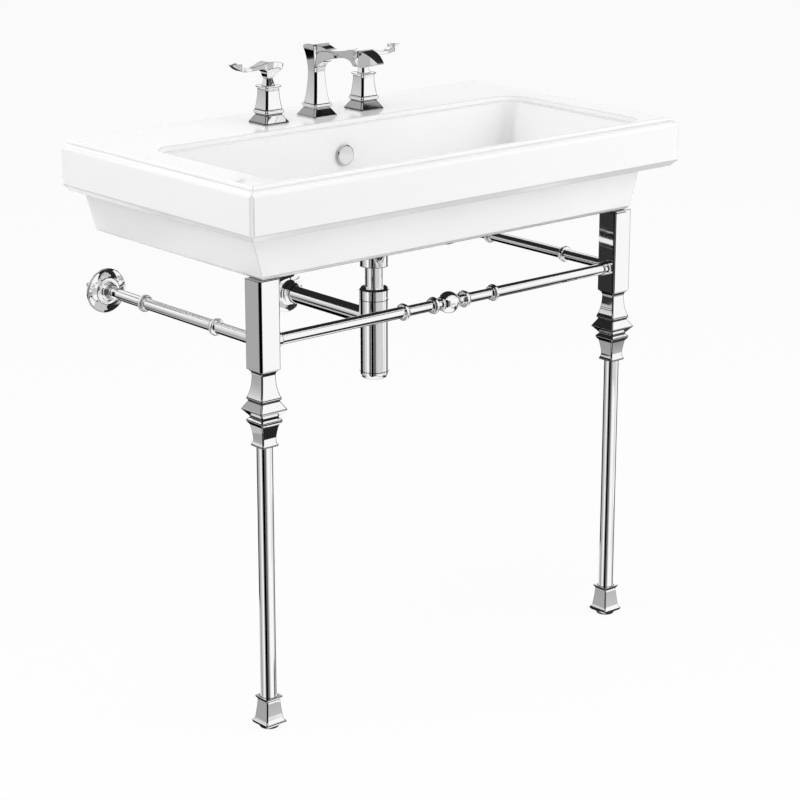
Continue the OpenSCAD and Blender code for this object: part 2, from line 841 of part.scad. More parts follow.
// Neck under the lever, with a threaded foot inside the valve column
module neck() {
    color(chrome_colour) at_valve() difference() {
        union() {
            rod(neck_low - 1 - fit_gap, cartridge_top_z + 0.3, valve_top_z + cut);
            square_turned([[neck_low, valve_top_z], [neck_low - 0.4, valve_top_z + 1],
                [neck_top, neck_top_z - 0.5], [neck_top - 0.4, neck_top_z]], neck_corner_cut);
        }
        rod(stem_r + 0.3, rim_z, neck_top_z + cut);
    }
}

// Brass valve: threaded shank, cartridge, side outlet towards the spout and threaded inlet below
module valve_body() {
    low = rim_z - valve_drop;
    stem_low_z = cartridge_top_z - 26;
    color(brass_colour) at_valve() difference() {
        union() {
            rod(shank_r, low, socket_z - fit_gap);
            rod(cartridge_r, socket_z - cut, cartridge_top_z);
            rod(inlet_r, low - inlet_len, low + cut);
            translate([0, 0, feed_z]) along_x() rod(feed_r + 3, -shank_r - valve_stub, 0);
        }
        rod(stem_r + running_gap, stem_low_z, cartridge_top_z + cut);
        rod(inlet_r - 3, low - inlet_len - cut, feed_z + feed_r);
        translate([0, 0, feed_z]) along_x() rod(feed_r - 1, -shank_r - valve_stub - cut, 0);
        translate([0, 0, feed_z]) along_x() rod(feed_r + fit_gap, -shank_r - valve_stub - cut, -shank_r);
    }
}

module stem() {
    color(steel_colour) at_valve() rod(stem_r, cartridge_top_z - 24, lever_z + lever_hub_h * 0.55);
}

// Lever: points run outward from the stem, and heights up from the hub's bottom
function lever_side() =
    let (top = lever_hub_h, low = lever_low_h, blade_top = lever_low_h + lever_blade_t,
        spoon = lever_reach - lever_spoon_len)
    concat(
        [[-neck_top, 0], [neck_top, 0], [neck_top + 1, 2]],
        curve([neck_top + 1.5, 4], [9, low + 1.5], [20, low + 1.5], 6),
        curve([20, low + 1.5], [36, low - 1], [spoon - 8, low], 5),
        curve([spoon - 8, low], [spoon + 3, low + 2], [lever_reach - 0.5, lever_rim_h - 1], 8),
        [[lever_reach, lever_rim_h], [spoon, lever_rim_h]],
        curve([spoon - 0.5, lever_rim_h - 1], [spoon - 3, blade_top + 2], [46, blade_top], 6),
        curve([46, blade_top], [30, blade_top], [14, top - 2], 6),
        curve([14, top - 2], [-5, top + 3], [-lever_tail + 1, 21.5], 8),
        [[-lever_tail, 20], [-neck_top - 1, 2.5]]);

function lever_plan_half() =
    let (spoon = lever_reach - lever_spoon_len)
    concat(
        [[-lever_tail, 4.5]],
        curve([-lever_tail + 1, 6], [-18, lever_hub_half + 1], [-4, lever_hub_half], 5),
        curve([-4, lever_hub_half], [14, lever_hub_half - 1], [26, lever_waist_half + 1.5], 5),
        curve([26, lever_waist_half + 1.5], [40, lever_waist_half - 1],
            [spoon - 8, lever_waist_half + 0.5], 5),
        curve([spoon - 8, lever_waist_half + 0.5], [spoon - 3, lever_waist_half + 1.5],
            [spoon + 1, lever_tip_half], 4),
        curve([spoon + 3, lever_tip_half], [lever_reach - 8, lever_tip_half - 1.5], [lever_reach, 1.5], 6));

module lever_blank() {
    intersection() {
        rotate([90, 0, 0]) linear_extrude(40, center = true) polygon(lever_side());
        translate([0, 0, -cut]) linear_extrude(lever_rim_h + 4 * cut) polygon(doubled(lever_plan_half()));
        rotate([90, 0, 90]) linear_extrude(2 * lever_reach + cut, center = true) polygon(mirrored(concat(
            [[neck_top, 0]], curve([neck_top + 0.6, 3], [neck_top + 2, 10], [lever_hub_half, 17], 5),
            [[lever_hub_half + 3, 20], [lever_hub_half + 3, lever_rim_h + 4 * cut]])));
    }
}

// Hollow of the spoon: a cone that lies along the lever
module spoon_hollow() {
    translate([lever_reach - lever_spoon_len - 3, 0, lever_rim_h + 2.5]) along_x()
        cylinder(r1 = lever_tip_half - 1, r2 = 1.5, h = lever_spoon_len + 2);
}

module lever() {
    socket_depth = lever_hub_h * 0.55 + 0.2;
    color(chrome_colour) at_valve() translate([0, 0, lever_z]) difference() {
        lever_blank();
        spoon_hollow();
        rod(stem_r + running_gap, -cut, socket_depth);
        translate([0, 0, 9]) out_of_wall() rod(2 + running_gap, -20, 0);
    }
}

module lever_screw() {
    color(steel_colour) at_valve() translate([0, 0, lever_z + 9]) out_of_wall() rod(2, -8, -stem_r - 0.1);
}

// Spout: points run out from its axis, and heights up from the deck
function spout_column_points() =
    let (low = column_z - rim_z)
    concat(
        [[spout_low_half, low - 2]],
        curve([spout_low_half, low], [spout_waist_half + 1, 42], [spout_waist_half, spout_waist_h], 8),
        curve([spout_waist_half + 0.1, spout_waist_h + 2], [spout_waist_half + 0.5, 95],
            [spout_head_half, spout_h - 8], 7),
        [[spout_head_half, spout_h + cut]]);

function spout_crest() =
    curve([-spout_head_half, spout_h - 6], [-2, spout_h + 5], [38, spout_h - 6], 8);

function arm_top() = concat(
    spout_crest(),
    curve([39, spout_h - 6.2], [60, spout_h - 10], [99, spout_h - 0.2], 6),
    curve([101, spout_h + 0.2], [140, spout_h + 8], [spout_reach, nose_h], 8));

function arm_side() = concat(
    [[0, nose_h]],
    [for (p = arm_top()) if (p[0] > 0) p],
    [[spout_reach + 1, nose_h - 1.5]],
    curve([spout_reach - 2, nose_h - 2.5], [150, outlet_h + 5], [outlet_reach + 14, outlet_h], 5),
    [[outlet_reach - 12.5, outlet_h]],
    curve([outlet_reach - 13, outlet_h + 2], [100, arch_h + 0.5], [arch_reach, arch_h], 6),
    curve([arch_reach - 2, arch_h + 0.5], [62, arch_h + 5], [40, arch_h + 5.5], 5),
    curve([38, arch_h + 5.5], [24, arch_h + 5.5], [10, arch_h - 2], 5));

function arm_plan_half() = concat(
    [[-1, 10], [0, 12]],
    curve([12, spout_head_half - 3.5], [26, arm_half + 1.5], [52, arm_half], 6),
    curve([54, arm_half], [84, arm_half], [outlet_reach - 10, outlet_half], 6),
    curve([outlet_reach + 2, outlet_half + 0.5], [150, outlet_half], [spout_reach + 1, 6], 6));

// Web under the arm, narrower than the arm
function web_side() = concat(
    [[0, spout_waist_h]],
    curve([spout_waist_half - 1, 82], [24, 98], [arch_reach, arch_h], 8),
    [[arch_reach, arch_h + 3], [40, arch_h + 8], [0, arch_h + 8]]);

module spout_blank() {
    prism_h = spout_h + 2 * cut;
    intersection() {
        square_turned(spout_column_points(), spout_corner_cut);
        side_prism(4 * spout_head_half) polygon(concat(
            [[-spout_head_half - cut, 0], [-spout_head_half - cut, spout_h - 8]], spout_crest(), [[38, 0]]));
    }
    intersection() {
        side_prism(4 * spout_head_half) polygon(arm_side());
        rotate([0, 0, -90]) linear_extrude(prism_h) polygon(doubled(arm_plan_half()));
    }
    intersection() {
        side_prism(4 * spout_head_half) polygon(web_side());
        rotate([0, 0, -90]) linear_extrude(prism_h)
            polygon(doubled([[0, web_half], [16, web_half], [arch_reach, web_end_half]]));
    }
}

module spout() {
    bore_z = rim_z + spout_h - 10.4;
    color(chrome_colour) difference() {
        union() {
            translate([0, -tap_out, 0]) square_base();
            translate([0, -tap_out, rim_z]) spout_blank();
        }
        translate([0, -tap_out, 0]) rod(shank_r + fit_gap, rim_z - cut, socket_z);
        translate([0, -tap_out, 0]) rod(7, rim_z, bore_z);
        translate([0, -tap_out, bore_z]) out_of_wall() rod(3, 0, outlet_reach);
        translate([0, -tap_out - outlet_reach, 0]) rod(aerator_r + fit_gap, rim_z + outlet_h - 10, bore_z);
    }
}

module aerator() {
    low = rim_z + outlet_h + 0.5;
    color(steel_colour) translate([0, -tap_out - outlet_reach, 0]) difference() {
        rod(aerator_r, low, low + 10);
        rod(aerator_r - 2, low + 1.5, low + 11);
        for (x = [-5, 0, 5], y = [-5, 0, 5]) translate([x, y, 0]) rod(1.6, low - cut, low + 2);
    }
}

module spout_shank() {
    color(brass_colour) translate([0, -tap_out, 0])
        pipe(shank_r, 7, feed_z + tee_r + 0.2, socket_z - fit_gap);
}

module feed_tee() {
    color(brass_colour) translate([0, -tap_out, feed_z]) difference() {
        union() {
            rod(tee_r, -tee_r, tee_r);
            along_x() rod(feed_r + 3, -tee_stub, tee_stub);
        }
        rod(7, -feed_r, tee_r + cut);
        along_x() rod(feed_r - 1, -tee_stub, tee_stub);
        for (turn = [0, 180]) rotate([0, 0, turn]) along_x() rod(feed_r + fit_gap, tee_r + 1, tee_stub + cut);
    }
}

module feed_tubes() {
    color(brass_colour) for (turn = [0, 180]) translate([0, -tap_out, feed_z]) rotate([0, 0, turn])
        along_x() pipe(feed_r, feed_r - 1, tee_r + 1.2, valve_spacing - shank_r - 0.2);
}

module deck_washers() {
    color(rubber_colour) at_each([-valve_spacing, 0, valve_spacing]) translate([0, -tap_out, 0])
        pipe(shank_r + 10, shank_r + fit_gap, deck_low_z - deck_washer_t, deck_low_z);
}

module deck_nuts() {
    top = deck_low_z - deck_washer_t;
    color(brass_colour) at_each([-valve_spacing, 0, valve_spacing]) translate([0, -tap_out, 0])
        hex_nut(deck_nut_across, shank_r + fit_gap, top - deck_nut_t, top);
}

// Trap: slip nut, dip tube, cap, body and bottom cup, with the outlet tube to the wall
module trap_nut() {
    color(chrome_colour) at_waste() difference() {
        bored_turned([[trap_nut_r - 1, trap_nut_z], [trap_nut_r, trap_nut_z + 1],
            [trap_nut_r, trap_nut_top_z - 1], [trap_nut_r - 1, trap_nut_top_z]], dip_r + fit_gap);
        rod(waste_tube_r + fit_gap, dip_flange_z, trap_nut_top_z + cut);
    }
}

module trap_dip_tube() {
    color(chrome_colour) at_waste() union() {
        pipe(dip_r, dip_r - trap_wall, dip_end_z, dip_flange_z + dip_flange_t);
        pipe(waste_tube_r - 0.9, dip_r - trap_wall, dip_flange_z, dip_flange_z + dip_flange_t);
    }
}

module trap_seals() {
    color(rubber_colour) at_waste() {
        pipe(waste_tube_r - 0.5, dip_r + 0.4, dip_flange_z + dip_flange_t, waste_end_z);
        pipe(trap_thread_r - 0.3, dip_r + fit_gap, trap_top_z - 8, trap_top_z - 6);
    }
}

module trap_cap() {
    color(chrome_colour) at_waste() difference() {
        bored_turned([[trap_nut_r, trap_body_top_z + 0.3], [trap_nut_r, trap_top_z - 3],
            [trap_nut_r - 3, trap_top_z]], dip_r + fit_gap);
        rod(trap_thread_r + fit_gap, trap_body_top_z, trap_top_z - 6);
    }
}

module trap_body() {
    color(chrome_colour) at_waste() difference() {
        union() {
            rod(trap_r, trap_seam_z, trap_body_top_z);
            rod(trap_thread_r, trap_body_top_z - cut, trap_top_z - 8);
        }
        rod(trap_bore_r, trap_seam_z - cut, trap_body_top_z - 3);
        rod(trap_thread_r - 2, trap_seam_z, trap_top_z);
        translate([0, 0, outlet_z]) rotate([-90, 0, 0]) rod(outlet_r + fit_gap, 0, trap_r + cut);
    }
}

module trap_cup() {
    low = trap_seam_z - trap_cup_h;
    color(chrome_colour) at_waste() difference() {
        rotate_extrude() polygon(concat(
            [[0, low]], arc([trap_r - 9, low + 9], 9, -90, 0, 6),
            [[trap_r, trap_seam_z - 0.3], [trap_bore_r - fit_gap, trap_seam_z - 0.3],
                [trap_bore_r - fit_gap, trap_seam_z + trap_cup_lip], [0, trap_seam_z + trap_cup_lip]]));
        rod(trap_bore_r - 4, low + 4, trap_seam_z + trap_cup_lip + cut);
    }
}

module outlet_tube() {
    color(chrome_colour) translate([0, 0, outlet_z]) out_of_wall() difference() {
        pipe(outlet_r, outlet_r - trap_wall, -outlet_tail, waste_out - trap_bore_r + 3);
        pipe(outlet_r + cut, outlet_r - outlet_mark_d, 0, outlet_mark_w);
    }
}

module outlet_collar() {
    far = outlet_plate_t + outlet_collar_t;
    color(chrome_colour) translate([0, 0, outlet_z]) out_of_wall()
        bored_turned(concat([[outlet_collar_r - 1, outlet_plate_t]],
            curve([outlet_collar_r, outlet_plate_t + 1], [outlet_collar_r + 0.5, outlet_plate_t + 4],
                [outlet_collar_r, far - 5], 4),
            [[outlet_collar_r - 2.5, far - 1], [outlet_collar_r - 3, far]]), outlet_r + fit_gap);
}

module outlet_plate() {
    color(chrome_colour) translate([0, 0, outlet_z]) out_of_wall()
        bored_turned(concat([[outlet_plate_r, 0], [outlet_plate_r, 2.5]],
            curve([outlet_plate_r - 1, 4], [outlet_plate_r - 8, 8], [outlet_collar_r + 4, 9], 5),
            curve([outlet_collar_r + 4, 9], [outlet_collar_r + 1, 9.5],
                [outlet_collar_r - 0.5, outlet_plate_t], 4)), outlet_r + fit_gap);
}

// Legs: square post, flared vase, wide collar, cup, round tube and square foot
module bevelled_square(half, bevel) {
    polygon([[half, bevel - half], [half, half - bevel], [half - bevel, half], [bevel - half, half],
        [-half, half - bevel], [-half, bevel - half], [bevel - half, -half], [half - bevel, -half]]);
}

module post() {
    inner = post_half - post_wall;
    color(chrome_colour) at_leg() difference() {
        translate([0, 0, post_z]) linear_extrude(post_len) bevelled_square(post_half, post_bevel);
        block([-inner, -inner, post_z - cut], [inner, inner, skirt_z - plug_plate_t]);
        rod(dowel_r + fit_gap, post_z, skirt_z + cut);
        translate([0, 0, rail_z]) along_x() rod(short_bore_r, -post_half - cut, 0);
        translate([0, 0, rail_z]) rotate([-90, 0, 0]) rod(short_bore_r, 0, post_half + cut);
    }
}

module vase() {
    inner = post_half - post_wall - spigot_gap;
    color(chrome_colour) at_leg() difference() {
        union() {
            block([-inner, -inner, post_z - cut], [inner, inner, post_z + spigot_len]);
            square_turned(concat(
                [[vase_rim - 1, vase_z], [vase_rim, vase_z + 1.5], [vase_rim, vase_z + 4]],
                curve([vase_rim - 0.6, vase_z + 5], [vase_neck + 0.4, vase_z + 17],
                    [vase_neck, post_z - 11], 8),
                curve([vase_neck, post_z - 9], [vase_neck + 0.2, post_z - 6],
                    [vase_neck + 1.6, post_z - 3], 3),
                [[inner, post_z - 2.5], [inner, post_z]]), leg_corner_cut);
        }
        rod(joint_r + fit_gap, vase_z - cut, vase_z + joint_len + face_gap);
    }
}

module collar() {
    neck = cup_waist + 3.2;
    color(chrome_colour) at_leg() union() {
        rod(joint_r, collar_z - joint_len, vase_z + joint_len);
        square_turned(concat(
            [[neck, collar_z], [neck, collar_z + 2]],
            curve([neck + 1, collar_z + 3], [neck + 4, collar_z + 7], [collar_half, collar_z + 13], 4),
            [[collar_half, collar_z + 14]],
            curve([collar_half - 1, collar_z + 15], [vase_rim + 2, collar_z + 20],
                [vase_rim - 2, vase_z - 1.5], 4),
            [[vase_rim - 2, vase_z]]), leg_corner_cut);
    }
}

module cup() {
    color(chrome_colour) at_leg() difference() {
        union() {
            rod(leg_bore_r - spigot_gap, cup_z - spigot_len, cup_z + cut);
            square_turned(concat(
                [[cup_foot - 1, cup_z], [cup_foot, cup_z + 1.5], [cup_foot, cup_z + 2.5]],
                curve([cup_foot - 0.6, cup_z + 3.5], [cup_waist, cup_z + 6], [cup_waist, cup_z + 11], 4),
                curve([cup_waist, cup_z + 12], [cup_waist + 0.6, collar_z - 24],
                    [cup_waist + 3.4, collar_z - 11.5], 6),
                curve([cup_waist + 3.8, collar_z - 10.5], [cup_rim - 1, collar_z - 9],
                    [cup_rim, collar_z - 5], 4),
                [[cup_rim, collar_z - 3.5], [cup_rim - 3.5, collar_z]]), leg_corner_cut);
        }
        rod(joint_r + fit_gap, collar_z - joint_len - face_gap, collar_z + cut);
    }
}

module leg_tube() {
    color(chrome_colour) at_leg() pipe(leg_r, leg_bore_r, foot_top_z - tube_seat, cup_z);
}

module foot() {
    color(chrome_colour) at_leg() difference() {
        square_turned(concat(
            [[foot_base - 2, foot_z], [foot_base, foot_z + 3.5], [foot_base, foot_z + 4.5]],
            curve([foot_base - 1, foot_z + 5.5], [foot_waist + 4, foot_z + 7],
                [foot_waist + 3.2, foot_z + 10], 4),
            curve([foot_waist + 3.1, foot_z + 11], [foot_waist + 0.6, foot_z + 28],
                [foot_waist, foot_top_z - 6], 6),
            curve([foot_waist + 0.2, foot_top_z - 5], [foot_top - 1, foot_top_z - 4],
                [foot_top, foot_top_z - 1.5], 3),
            [[foot_top, foot_top_z]]), leg_corner_cut);
        difference() {
            rod(leg_r + 0.8, foot_top_z - tube_seat, foot_top_z + cut);
            rod(leg_bore_r - spigot_gap, foot_z, foot_top_z + 2);
        }
        rod(pad_screw_r + running_gap, foot_z - cut, foot_z + leveller_len + cut);
    }
    color(chrome_colour) at_leg() rod(leg_bore_r - spigot_gap, foot_top_z - cut, foot_top_z + spigot_len);
}

// Levelling foot: a pad with a screw that turns out of the leg's foot
module leveller() {
    color(rubber_colour) at_leg() union() {
        rotate_extrude() polygon([[0, floor_z], [pad_r - 1, floor_z], [pad_r, floor_z + 1],
            [pad_r, floor_z + pad_t], [0, floor_z + pad_t]]);
        rod(pad_screw_r, floor_z + cut, floor_z + pad_t + leveller_len);
    }
}

// Rails: rings are turned pieces whose pegs enter the tubes on both sides
function bead(r, from, to, foot) = concat(
    [[foot, from]],
    curve([r - 1.2, from + 0.3], [r + 0.6, (from + to) / 2], [r - 1.2, to - 0.3], 4),
    [[foot, to]]);

// Pair of rings along +Z, the large one first, with a peg at each end
module ring_pair(low_peg_r, high_peg_r) {
    low = -ring_pair_half;
    mid = low + large_ring_t;
    high = ring_pair_half;
    foot = short_rail_r - 0.5;
    rotate_extrude() polygon(concat(
        [[0, low - rail_peg_len], [low_peg_r, low - rail_peg_len], [low_peg_r, low]],
        bead(large_ring_r, low, mid, foot), bead(small_ring_r, mid, high, foot),
        [[high_peg_r, high], [high_peg_r, high + rail_peg_len], [0, high + rail_peg_len]]));
}

module front_rail_axis() {
    translate([0, leg_y, rail_z]) along_x() children();
}

module front_rail_tubes() {
    color(chrome_colour) for (side = [-1, 1]) on_side(side) front_rail_axis() {
        pipe(rail_r, rail_bore_r, outer_ring_x + ring_pair_half, end_collar_x);
        pipe(short_rail_r, short_bore_r, inner_ring_x + ring_pair_half, outer_ring_x - ring_pair_half);
    }
}

module front_rail_rings() {
    peg = short_bore_r - fit_gap;
    long_peg = rail_bore_r - fit_gap;
    color(chrome_colour) for (side = [-1, 1]) on_side(side) front_rail_axis() {
        translate([0, 0, outer_ring_x]) mirror([0, 0, 1]) ring_pair(long_peg, peg);
        difference() {
            translate([0, 0, inner_ring_x]) ring_pair(peg, peg);
            rod(rail_r, 0, inner_ring_x - ring_pair_half);
        }
        rotate_extrude() polygon([[0, end_collar_x - rail_peg_len], [long_peg, end_collar_x - rail_peg_len],
            [long_peg, end_collar_x], [end_collar_r - 1, end_collar_x], [end_collar_r, end_collar_x + 1.5],
            [end_collar_r, post_face_x - 3], [rail_r, post_face_x], [peg, post_face_x],
            [peg, post_face_x + post_peg_len], [0, post_face_x + post_peg_len]]);
    }
}

module front_rail_ball() {
    neck = inner_ring_x - ring_pair_half;
    color(chrome_colour) front_rail_axis() union() {
        sphere(r = ball_r);
        rod(short_rail_r - 0.7, -neck, neck);
        for (turn = [0, 180]) rotate([turn, 0, 0])
            bored_turned([[small_ring_r - 2, ball_r - 5], [small_ring_r - 1, ball_r - 2],
                [small_ring_r - 2, ball_r + 1]], short_rail_r - 1);
    }
}

module side_rail_axis() {
    translate([leg_x, 0, rail_z]) out_of_wall() children();
}

module side_rail_tubes() {
    color(chrome_colour) for (side = [-1, 1]) on_side(side) side_rail_axis() {
        pipe(rail_r, rail_bore_r, rail_seat, wall_ring_out - ring_pair_half);
        pipe(rail_r, rail_bore_r, wall_ring_out + ring_pair_half, mid_ring_out - ring_pair_half);
        pipe(rail_r, rail_bore_r, mid_ring_out + ring_pair_half, -post_face_y);
    }
}

module side_rail_rings() {
    peg = rail_bore_r - fit_gap;
    post_peg = short_bore_r - fit_gap;
    color(chrome_colour) for (side = [-1, 1]) on_side(side) side_rail_axis() {
        translate([0, 0, wall_ring_out]) ring_pair(peg, peg);
        translate([0, 0, mid_ring_out]) mirror([0, 0, 1]) ring_pair(peg, peg);
        rotate_extrude() polygon([[0, -post_face_y - rail_peg_len], [post_peg, -post_face_y - rail_peg_len],
            [post_peg, post_peg_len - post_face_y], [0, post_peg_len - post_face_y]]);
    }
}

// Wall plate of a side rail: domed disc with a ringed hub
module wall_plate() {
    color(chrome_colour) side_rail_axis() difference() {
        bored_turned(concat([[plate_r - 0.5, 0], [plate_r, 1], [plate_r, 4]],
            curve([plate_r - 1, 5.5], [plate_r - 8, 7], [24, 9], 5),
            [[22, 9.6], [21, 9.2]],
            curve([20, 9.2], [hub_r + 1, 9.5], [hub_r, 13], 5),
            [[hub_r, plate_hub - 6], [hub_r + 1.5, plate_hub - 5], [hub_r + 1.5, plate_hub - 2],
                [hub_r, plate_hub - 1], [hub_r - 0.5, plate_hub]]), anchor_front_r + fit_gap);
        rod(rail_r + fit_gap, rail_seat - fit_gap, plate_hub + cut);
    }
}

// Hanger bolts that hold the side rails to the wall
module rail_anchors() {
    color(steel_colour) for (side = [-1, 1]) on_side(side) side_rail_axis() union() {
        rod(anchor_r, -anchor_tail, 0);
        rod(anchor_front_r, -cut, anchor_front_len);
        rod(rail_bore_r - fit_gap, rail_seat, 2 * rail_seat);
    }
}

// Dowels from the posts up into the china, with a flange under each post's end plate
module post_dowels() {
    plate_low = skirt_z - plug_plate_t;
    color(steel_colour) for (side = [-1, 1]) on_side(side) at_leg() union() {
        rod(dowel_r, plate_low - dowel_flange_t, skirt_z + dowel_depth);
        rod(dowel_r + dowel_flange_w, plate_low - dowel_flange_t, plate_low);
    }
}

// Hanger bolts that hold the china to the wall
module wall_studs() {
    color(steel_colour) at_each([-stud_spacing / 2, stud_spacing / 2]) out_of_wall() union() {
        rod(stud_r, -stud_tail, 0);
        rod(stud_front_r, -cut, back_wall + stud_front_len);
    }
}

module wall_nuts() {
    washer = back_wall + wall_washer_t;
    color(steel_colour) at_each([-stud_spacing / 2, stud_spacing / 2]) out_of_wall() {
        pipe(wall_washer_r, stud_front_r + fit_gap, back_wall, washer);
        hex_nut(wall_nut_across, stud_front_r + fit_gap, washer, washer + wall_nut_h);
    }
}

basin();
overflow_cover();
waste_body();
waste_gasket();
waste_nut();
plug_guide();
plug();
spout();
aerator();
spout_shank();
feed_tee();
feed_tubes();
deck_washers();
deck_nuts();
on_side(-1) valve_column();  // left_valve_column
on_side(-1) neck();  // left_neck
on_side(-1) valve_body();  // left_valve_body
on_side(-1) stem();  // left_stem
on_side(-1) lever();  // left_lever
on_side(-1) lever_screw();  // left_lever_screw
valve_column();  // right_valve_column
neck();  // right_neck
valve_body();  // right_valve_body
stem();  // right_stem
lever();  // right_lever
lever_screw();  // right_lever_screw
trap_nut();
trap_dip_tube();
trap_seals();
trap_cap();
trap_body();
trap_cup();
outlet_tube();
outlet_collar();
outlet_plate();
on_side(-1) post();  // left_post
post();  // right_post
on_side(-1) vase();  // left_vase
vase();  // right_vase
on_side(-1) collar();  // left_collar
collar();  // right_collar
on_side(-1) cup();  // left_cup
cup();  // right_cup
on_side(-1) leg_tube();  // left_leg_tube
leg_tube();  // right_leg_tube
on_side(-1) foot();  // left_foot
foot();  // right_foot
on_side(-1) leveller();  // left_leveller
leveller();  // right_leveller
front_rail_tubes();
front_rail_rings();
front_rail_ball();
side_rail_tubes();
side_rail_rings();
on_side(-1) wall_plate();  // left_wall_plate
wall_plate();  // right_wall_plate
rail_anchors();
post_dowels();
wall_studs();
wall_nuts();
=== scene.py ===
import json
import math

import bmesh
import bpy
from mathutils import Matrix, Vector


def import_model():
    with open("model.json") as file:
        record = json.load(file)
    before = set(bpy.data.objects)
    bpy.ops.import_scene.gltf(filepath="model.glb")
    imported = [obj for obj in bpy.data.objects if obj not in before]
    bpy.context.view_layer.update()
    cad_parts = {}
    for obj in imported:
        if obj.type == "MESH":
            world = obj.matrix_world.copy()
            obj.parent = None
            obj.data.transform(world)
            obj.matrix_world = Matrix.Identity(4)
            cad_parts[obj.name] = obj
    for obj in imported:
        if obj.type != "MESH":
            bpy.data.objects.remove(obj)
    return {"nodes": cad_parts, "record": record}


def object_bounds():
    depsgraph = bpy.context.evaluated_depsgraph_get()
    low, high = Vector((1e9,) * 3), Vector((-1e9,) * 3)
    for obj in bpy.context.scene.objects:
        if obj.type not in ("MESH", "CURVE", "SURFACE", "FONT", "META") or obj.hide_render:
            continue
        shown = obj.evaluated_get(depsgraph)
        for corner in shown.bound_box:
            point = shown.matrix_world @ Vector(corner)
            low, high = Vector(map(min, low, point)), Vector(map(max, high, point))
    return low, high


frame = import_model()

cad_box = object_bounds()
nodes = frame["nodes"]
slots = {part["node"]: part["material_slot"] for part in frame["record"]["subparts"]}
FLOOR = cad_box[0].z

# Camera of the photograph, fitted to the basin's corners, legs, rails and tap
CAMERA_AT = Vector((-2.5818, -3.3275, 0.8382))
CAMERA_AZIMUTH = math.radians(-40.499)
CAMERA_PITCH = math.radians(16.783)
CAMERA_LENS = 112.0

# Levels of light: the world's for matt surfaces, and the white of the background
WORLD_LEVEL = 0.46
BACKDROP_LEVEL = 1.0


# Helpers for materials and their nodes. NOISE_RANGE is where nearly all of a noise's values lie.
NOISE_RANGE = (0.3, 0.7)


def new_material(name):
    made = bpy.data.materials.new(name)
    made.use_nodes = True
    made.node_tree.nodes.clear()
    return made, made.node_tree


def join(tree, out, out_name, target, in_name):
    tree.links.new(out.outputs[out_name], target.inputs[in_name])


def shader(tree, **values):
    made = tree.nodes.new("ShaderNodeBsdfPrincipled")
    for key, value in values.items():
        made.inputs[key.replace("_", " ")].default_value = value
    output = tree.nodes.new("ShaderNodeOutputMaterial")
    tree.links.new(made.outputs["BSDF"], output.inputs["Surface"])
    return made


def place(tree):
    return tree.nodes.new("ShaderNodeTexCoord")


def noise(tree, where, scale, detail=2.0, roughness=0.5):
    made = tree.nodes.new("ShaderNodeTexNoise")
    made.inputs["Scale"].default_value = scale
    made.inputs["Detail"].default_value = detail
    made.inputs["Roughness"].default_value = roughness
    join(tree, where, "Object", made, "Vector")
    return made


def spread(tree, source, out_name, low, high):
    made = tree.nodes.new("ShaderNodeMapRange")
    made.inputs["From Min"].default_value = NOISE_RANGE[0]
    made.inputs["From Max"].default_value = NOISE_RANGE[1]
    made.inputs["To Min"].default_value = low
    made.inputs["To Max"].default_value = high
    join(tree, source, out_name, made, "Value")
    return made


def tint(tree, source, out_name, dark, light):
    made = tree.nodes.new("ShaderNodeMix")
    made.data_type = "RGBA"
    made.inputs["A"].default_value = (*dark, 1)
    made.inputs["B"].default_value = (*light, 1)
    join(tree, source, out_name, made, "Factor")
    return made


def bump(tree, source, out_name, strength, distance, below=None):
    made = tree.nodes.new("ShaderNodeBump")
    made.inputs["Strength"].default_value = strength
    made.inputs["Distance"].default_value = distance
    join(tree, source, out_name, made, "Height")
    if below:
        join(tree, below, "Normal", made, "Normal")
    return made


# Bands that repeat after a pitch in metres: at scale 1 the wave node repeats after a tenth of pi
def wave(tree, where, pitch, direction):
    made = tree.nodes.new("ShaderNodeTexWave")
    made.bands_direction = direction
    made.inputs["Scale"].default_value = math.pi / (10 * pitch)
    join(tree, where, "Object", made, "Vector")
    return made


# Materials. Each takes the two tints that its stains or clouds go between.
def china(name, dark, light):
    made, tree = new_material(name)
    glaze = shader(tree, Roughness=0.22, IOR=1.5, Coat_Weight=0.6, Coat_Roughness=0.03)
    where = place(tree)
    clouds = noise(tree, where, 5.0, 3.0)
    colour = tint(tree, clouds, "Fac", dark, light)
    join(tree, colour, "Result", glaze, "Base Color")
    waves = noise(tree, where, 14.0, 1.0)
    ripple = bump(tree, waves, "Fac", 0.12, 0.0015)
    skin = noise(tree, where, 260.0, 2.0)
    peel = bump(tree, skin, "Fac", 0.015, 0.0003, ripple)
    join(tree, peel, "Normal", glaze, "Normal")
    join(tree, ripple, "Normal", glaze, "Coat Normal")
    rough = spread(tree, clouds, "Fac", 0.19, 0.26)
    join(tree, rough, "Result", glaze, "Roughness")
    return made


def chrome(name, dark, light):
    made, tree = new_material(name)
    metal = shader(tree, Metallic=1.0, Roughness=0.04)
    where = place(tree)
    haze = noise(tree, where, 45.0, 4.0, 0.6)
    colour = tint(tree, haze, "Fac", dark, light)
    join(tree, colour, "Result", metal, "Base Color")
    rough = spread(tree, haze, "Fac", 0.025, 0.055)
    join(tree, rough, "Result", metal, "Roughness")
    waves = noise(tree, where, 90.0, 1.0)
    ripple = bump(tree, waves, "Fac", 0.03, 0.0002)
    join(tree, ripple, "Normal", metal, "Normal")
    return made


